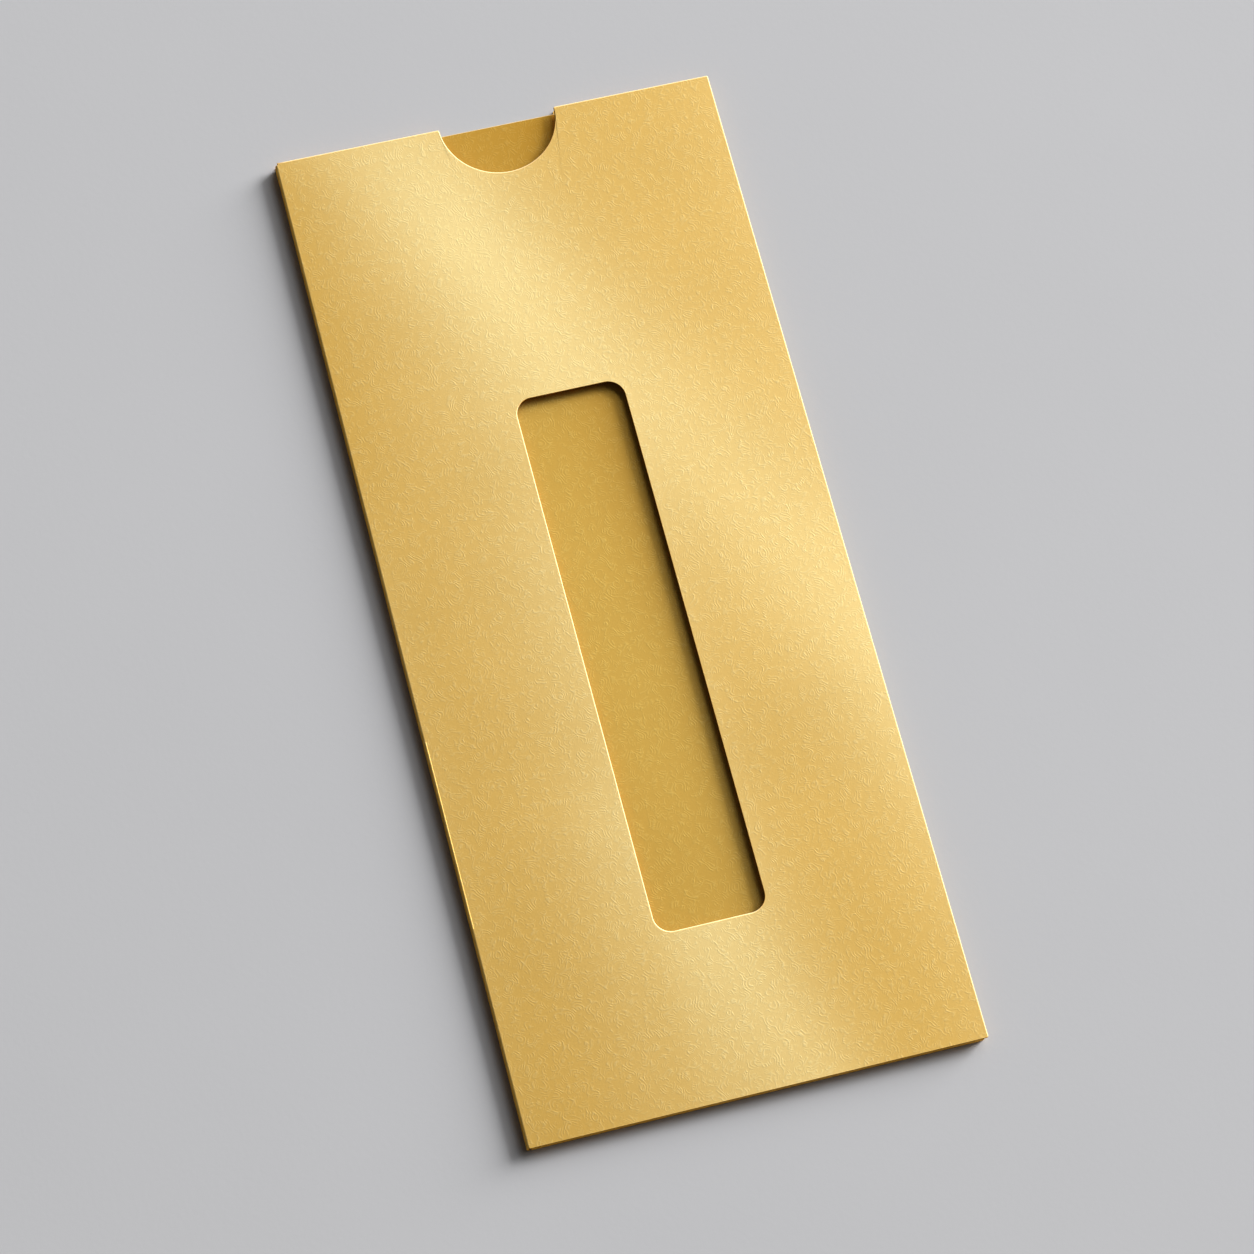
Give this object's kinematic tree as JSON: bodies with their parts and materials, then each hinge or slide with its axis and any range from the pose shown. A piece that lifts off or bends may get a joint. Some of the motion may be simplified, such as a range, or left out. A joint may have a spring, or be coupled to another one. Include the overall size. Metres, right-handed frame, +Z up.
{
  "type": "gift card holder",
  "caption": "Slim folded card sleeve with a long round-cornered window, half-round thumb cuts at its open mouth, and an insert card that slides out.",
  "frame": {"origin": "middle of the back face, on the surface that the holder lies on", "axes": "+Z up out of the front with the window, +Y along the sleeve out of its open mouth, +X to the right seen from the front"},
  "size_m": [0.09, 0.205, 0.0024],
  "materials": {
    "gold_board": "pearlescent gold, fine fibre emboss",
    "board_inside": "satin gold",
    "insert_board": "satin gold, smooth",
    "dried_glue": "clear, slightly yellow"
  },
  "bodies": {
    "sleeve": {"front_panel": "gold_board", "back_panel": "gold_board", "spine_fold": "gold_board", "side_fold": "gold_board", "bottom_fold": "gold_board", "side_glue_flap": "board_inside", "bottom_glue_flap": "board_inside", "side_glue_strip": "dried_glue", "bottom_glue_strip": "dried_glue"},
    "insert": {"insert_card": "insert_board"}
  },
  "joints": [
    {"name": "insert_slide", "type": "slide", "parent": "sleeve", "child": "insert", "axis": [0, 1, 0], "range_m": [0, 0.21]}
  ]
}
